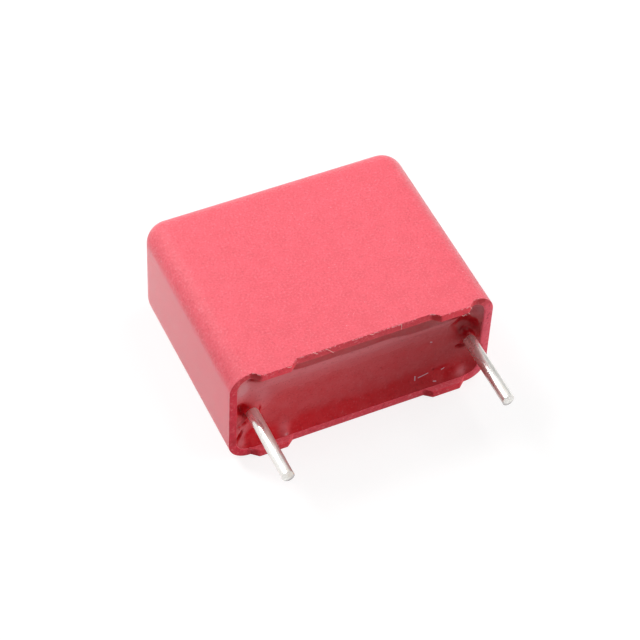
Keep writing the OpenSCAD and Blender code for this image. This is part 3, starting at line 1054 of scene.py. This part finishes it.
# %% Wound film and sprayed metal
wound, shader = new_finish("metallised_film", Metallic=0.6)
place = millimetres(wound)
layers = add_node(wound, "TexWave", {
    "Vector": place, "Scale": 6.0, "Distortion": 1.5, "Detail": 2.0, "Detail Scale": 0.5,
}, bands_direction="Z")
tone = noise(wound, place, 0.8, 3, 0.6)
grey = tint(wound, layers.outputs["Fac"], (0.42, 0.43, 0.46), (0.60, 0.61, 0.63))
grey = tint(wound, band(wound, tone, 0.4, 0.7, 0, 0.35), grey, (0.50, 0.46, 0.40))
link(wound, grey, shader.inputs["Base Color"])
link(wound, band(wound, tone, 0.3, 0.7, 0.22, 0.38), shader.inputs["Roughness"])
link(wound, bump(wound, layers.outputs["Fac"], 0.01, 0.5), shader.inputs["Normal"])
sprayed, shader = new_finish("sprayed_metal", Metallic=1.0)
place = millimetres(sprayed)
drops = add_node(sprayed, "TexVoronoi", {"Vector": place, "Scale": 7.0}, feature="SMOOTH_F1")
crust = noise(sprayed, place, 5.0, 4, 0.7)
grey = tint(sprayed, band(sprayed, crust, 0.35, 0.65), (0.34, 0.34, 0.35), (0.60, 0.60, 0.58))
link(sprayed, grey, shader.inputs["Base Color"])
link(sprayed, band(sprayed, crust, 0.3, 0.7, 0.55, 0.75), shader.inputs["Roughness"])
skin = bump(sprayed, drops.outputs["Distance"], 0.06, 0.8)
link(sprayed, bump(sprayed, crust, 0.03, 0.6, skin), shader.inputs["Normal"])
for node, finish in (
    ("film_winding", wound), ("end_spray_left", sprayed), ("end_spray_right", sprayed),
):
    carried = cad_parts[node]
    carried.data.materials.clear()
    carried.data.materials.append(finish)
    print(node, "is finished as", finish.name)

# %% [markdown]
# ## Floor, lamps and world
#
# The part lies on a plain pale floor under broad soft lamps, so its shadow stays faint. The floor is
# white to the camera and in reflections, by its own small glow, and it still darkens where the part
# keeps the light off it.

# %% Floor
bpy.ops.object.select_all(action="DESELECT")
bpy.ops.mesh.primitive_plane_add(size=0.6, location=(0, 0, -0.01 * MM))
floor = bpy.context.active_object
floor.name = "studio_floor"
paper, shader = new_finish("white_paper", Roughness=0.9, Specular_IOR_Level=0.2)
shader.inputs["Base Color"].default_value = (0.80, 0.80, 0.80, 1)
fibre = noise(paper, millimetres(paper), 0.4, 3, 0.6)
link(paper, bump(paper, fibre, 0.01, 0.2), shader.inputs["Normal"])
rays = add_node(paper, "LightPath").outputs
mirrored = math_of(paper, "MAXIMUM", rays["Is Glossy Ray"], rays["Is Transmission Ray"])
surface = shader.outputs[0]
for ray, glow_strength, shade_grey in (
    (mirrored, 0.22, 0.78), (rays["Is Camera Ray"], 0.78, 0.28),
):
    glow = add_node(paper, "Emission", {"Color": (1, 1, 1, 1), "Strength": glow_strength})
    shade = add_node(paper, "BsdfDiffuse", {"Color": (shade_grey, shade_grey, shade_grey, 1)})
    shown = add_node(paper, "AddShader", {0: glow.outputs[0], 1: shade.outputs[0]})
    surface = add_node(paper, "MixShader", {0: ray, 1: surface, 2: shown.outputs[0]}).outputs[0]
link(paper, surface, paper.node_tree.nodes["Material Output"].inputs["Surface"])
floor.data.materials.append(paper)
print("floor is", round(floor.dimensions.x / MM), "mm wide")

# %% [markdown]
# Four square area lamps light the part. The one overhead gives the upper side its even tone, the one
# behind draws the highlight along the left edge, and the two others fill the right side and the open
# end. The world adds a dim fill from all round, brighter behind and to the left. In reflections it
# is brighter than it shines, as white walls would be, and to the camera it is plain white.

# %% Lamps and world
def soft_lamp(name, place, aim, size, power):
    """Adds a square area lamp at a place, aimed at a point."""
    lamp_data = bpy.data.lights.new(name, "AREA")
    lamp_data.size = size
    lamp_data.energy = power
    lamp = bpy.data.objects.new(name, lamp_data)
    bpy.context.scene.collection.objects.link(lamp)
    lamp.location = place
    lamp.rotation_mode = "QUATERNION"
    lamp.rotation_quaternion = (Vector(place) - Vector(aim)).to_track_quat("Z", "Y")


soft_lamp("overhead_softbox", (0.17, -0.01, 0.29), (0, 0, 0), 0.24, 0.51)
soft_lamp("right_fill", (0.32, -0.10, 0.14), (0, 0, 0), 0.20, 0.20)
soft_lamp("back_left_softbox", (-0.148, 0.222, 0.270), (0, 0, 0), 0.15, 1.02)
soft_lamp("front_fill", (0.20, -0.28, 0.16), (0, 0, 0), 0.26, 0.20)
world = bpy.data.worlds.new("studio_world")
bpy.context.scene.world = world
world.use_nodes = True
world.node_tree.nodes.clear()
sky_place = add_node(world, "TexCoord").outputs["Generated"]
sky = axes(world, sky_place)
back_part = math_of(world, "MULTIPLY", sky[1], 0.75)
left_part = math_of(world, "MULTIPLY", sky[0], 0.66)
towards_back = math_of(world, "SUBTRACT", back_part, left_part)
fill = band(world, towards_back, -0.2, 1.0, 0.12, 0.36)
shine = band(world, towards_back, -0.4, 0.7, 0.40, 1.05)
rays = add_node(world, "LightPath").outputs
mirrored = math_of(world, "MAXIMUM", rays["Is Glossy Ray"], rays["Is Transmission Ray"])
strength = add_node(world, "Mix", {"Factor": mirrored, "A": fill, "B": shine})
strength = add_node(world, "Mix", {
    "Factor": rays["Is Camera Ray"], "A": strength.outputs[0], "B": 1.0,
})
sky_shader = add_node(world, "Background", {
    "Color": (1, 1, 1, 1), "Strength": strength.outputs[0],
})
world_out = add_node(world, "OutputWorld")
link(world, sky_shader.outputs[0], world_out.inputs["Surface"])
bpy.context.scene.view_settings.view_transform = "Standard"
